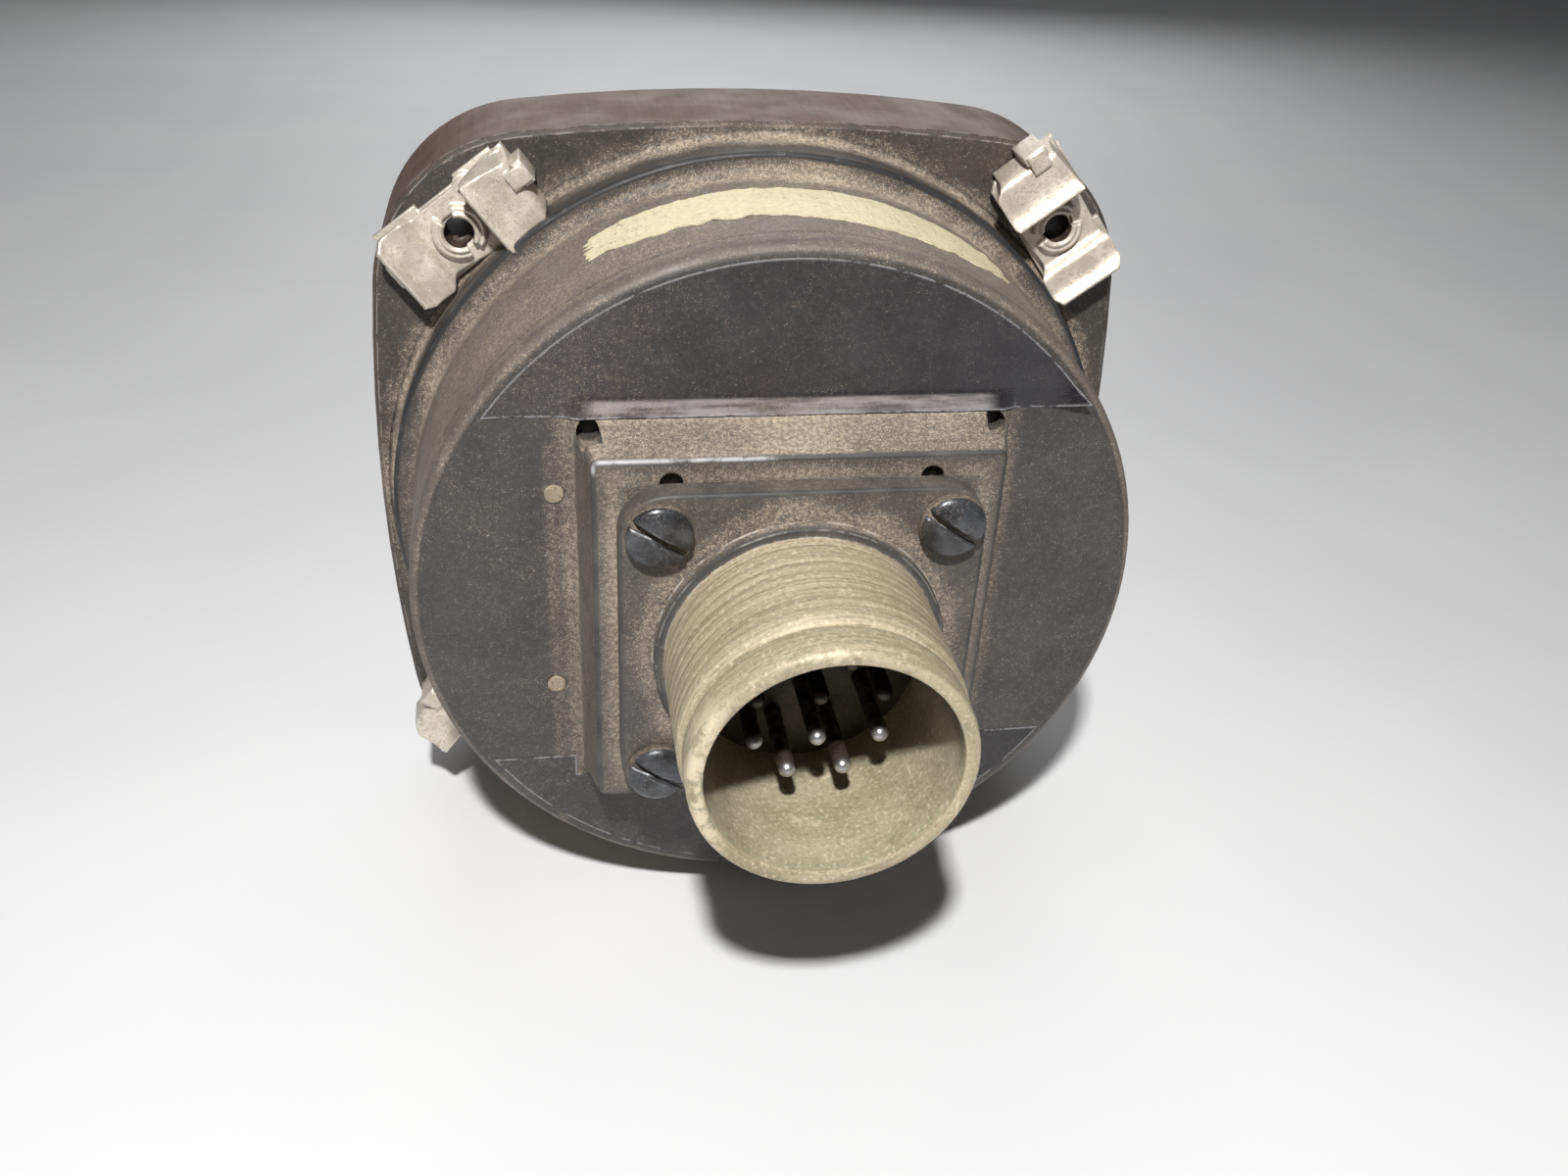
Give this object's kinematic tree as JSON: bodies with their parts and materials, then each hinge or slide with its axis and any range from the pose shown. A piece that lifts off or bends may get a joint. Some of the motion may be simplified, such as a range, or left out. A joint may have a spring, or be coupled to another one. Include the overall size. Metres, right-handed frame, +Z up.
{
  "type": "course selector",
  "caption": "Panel-mounted course selector: square bezel with a corner knob, round case and a threaded ten-pin rear connector.",
  "frame": {"origin": "on the case's centre line at the bezel's front face, where it meets the panel", "axes": "-Y out of the dial toward the user, +Y out of the rear connector, +Z up, +X to the user's right"},
  "size_m": [0.0826, 0.0831, 0.0826],
  "materials": {
    "bezel_enamel": "worn dark enamel with dust",
    "case_enamel": "matte black enamel, dusty",
    "black_enamel": "matte black",
    "black_steel": "blackened",
    "bright_steel": "plain",
    "dark_iron": "plain",
    "brass": "machined",
    "aluminium": "machined",
    "copper_coil": "enamelled winding wire",
    "window_glass": "clear",
    "black_rubber": "plain",
    "dial_black": "matte black",
    "needle_white": "matte white",
    "flag_orange": "matte orange",
    "knob_plastic": "satin",
    "board_laminate": "laminate",
    "resistor_body": "lacquered",
    "rivet_metal": "dull",
    "olive_plating": "olive drab plating, scratched and dusty",
    "insert_plastic": "moulded",
    "clip_plating": "dull zinc plating"
  },
  "bodies": {
    "root": {"bezel": "bezel_enamel", "window_ring": "black_enamel", "window_ring_screws": "black_steel", "window_gasket": "black_rubber", "window_glass": "window_glass", "glass_spacer": "black_enamel", "index_ring": "dial_black", "dial_plate": "dial_black", "dial_screws": "black_steel", "movement_frame": "aluminium", "needle_meter_yoke": "dark_iron", "needle_meter_core": "dark_iron", "needle_meter_bridge": "brass", "to_from_meter": "dark_iron", "warning_meter": "dark_iron", "shaft_bush": "brass", "idler_bush": "brass", "resolver": "bright_steel", "resolver_plate": "aluminium", "resolver_standoffs": "aluminium", "resolver_screws": "black_steel", "terminal_board": "board_laminate", "board_standoffs": "aluminium", "board_screws": "black_steel", "board_resistors": "resistor_body", "rear_case": "case_enamel", "case_rivets": "rivet_metal", "case_screws": "black_steel", "connector_gasket": "black_rubber", "connector_shell": "olive_plating", "connector_insert": "insert_plastic", "contact_pins": "bright_steel", "connector_screws": "black_steel", "connector_nut_plate": "bright_steel", "clip_nut_upper_right": "clip_plating", "clip_nut_upper_left": "clip_plating", "clip_nut_lower_right": "clip_plating"},
    "card": {"course_card": "dial_black", "card_screws": "bright_steel", "card_gear": "brass"},
    "knob": {"selector_knob": "knob_plastic", "knob_set_screw": "bright_steel", "knob_shaft": "bright_steel", "course_pinion": "brass", "pinion_pin": "bright_steel"},
    "idler": {"idler_gear": "brass"},
    "resolver_rotor": {"resolver_gear": "brass", "resolver_shaft": "bright_steel"},
    "needle": {"needle_meter_coil": "copper_coil", "needle_staffs": "bright_steel", "needle_hairspring": "bright_steel", "deviation_needle": "needle_white"},
    "to_from_pointer": {"to_from_flag": "needle_white"},
    "warning_pointer": {"warning_flag": "flag_orange"}
  },
  "joints": [
    {"name": "card_rotation", "type": "hinge", "parent": "root", "child": "card", "pos_m": [0, 0.009, 0], "axis": [0, 1, 0], "continuous": true},
    {"name": "knob_rotation", "type": "hinge", "parent": "root", "child": "knob", "pos_m": [-0.02913, 0, -0.02913], "axis": [0, 1, 0], "continuous": true},
    {"name": "idler_rotation", "type": "hinge", "parent": "root", "child": "idler", "pos_m": [0, 0.011, 0.0309], "axis": [0, 1, 0], "continuous": true},
    {"name": "resolver_rotation", "type": "hinge", "parent": "root", "child": "resolver_rotor", "pos_m": [0, 0.0158, 0.01545], "axis": [0, 1, 0], "continuous": true},
    {"name": "deviation_needle_swing", "type": "hinge", "parent": "root", "child": "needle", "pos_m": [0, 0.009, 0.012], "axis": [0, 1, 0], "range_deg": [-20, 20], "stiffness_Nm_per_rad": 0.0001},
    {"name": "to_from_flag_turn", "type": "hinge", "parent": "root", "child": "to_from_pointer", "pos_m": [0.012, 0.006, -0.005], "axis": [0, 1, 0], "range_deg": [-60, 60], "stiffness_Nm_per_rad": 0.00005},
    {"name": "warning_flag_turn", "type": "hinge", "parent": "root", "child": "warning_pointer", "pos_m": [-0.012, 0.006, -0.005], "axis": [0, 1, 0], "range_deg": [0, 60], "stiffness_Nm_per_rad": 0.00005}
  ],
  "couplings": [
    {"joint": "knob_rotation", "follows": "card_rotation", "ratio": -5.8667},
    {"joint": "idler_rotation", "follows": "card_rotation", "ratio": -5.8667},
    {"joint": "resolver_rotation", "follows": "card_rotation", "ratio": 1}
  ]
}
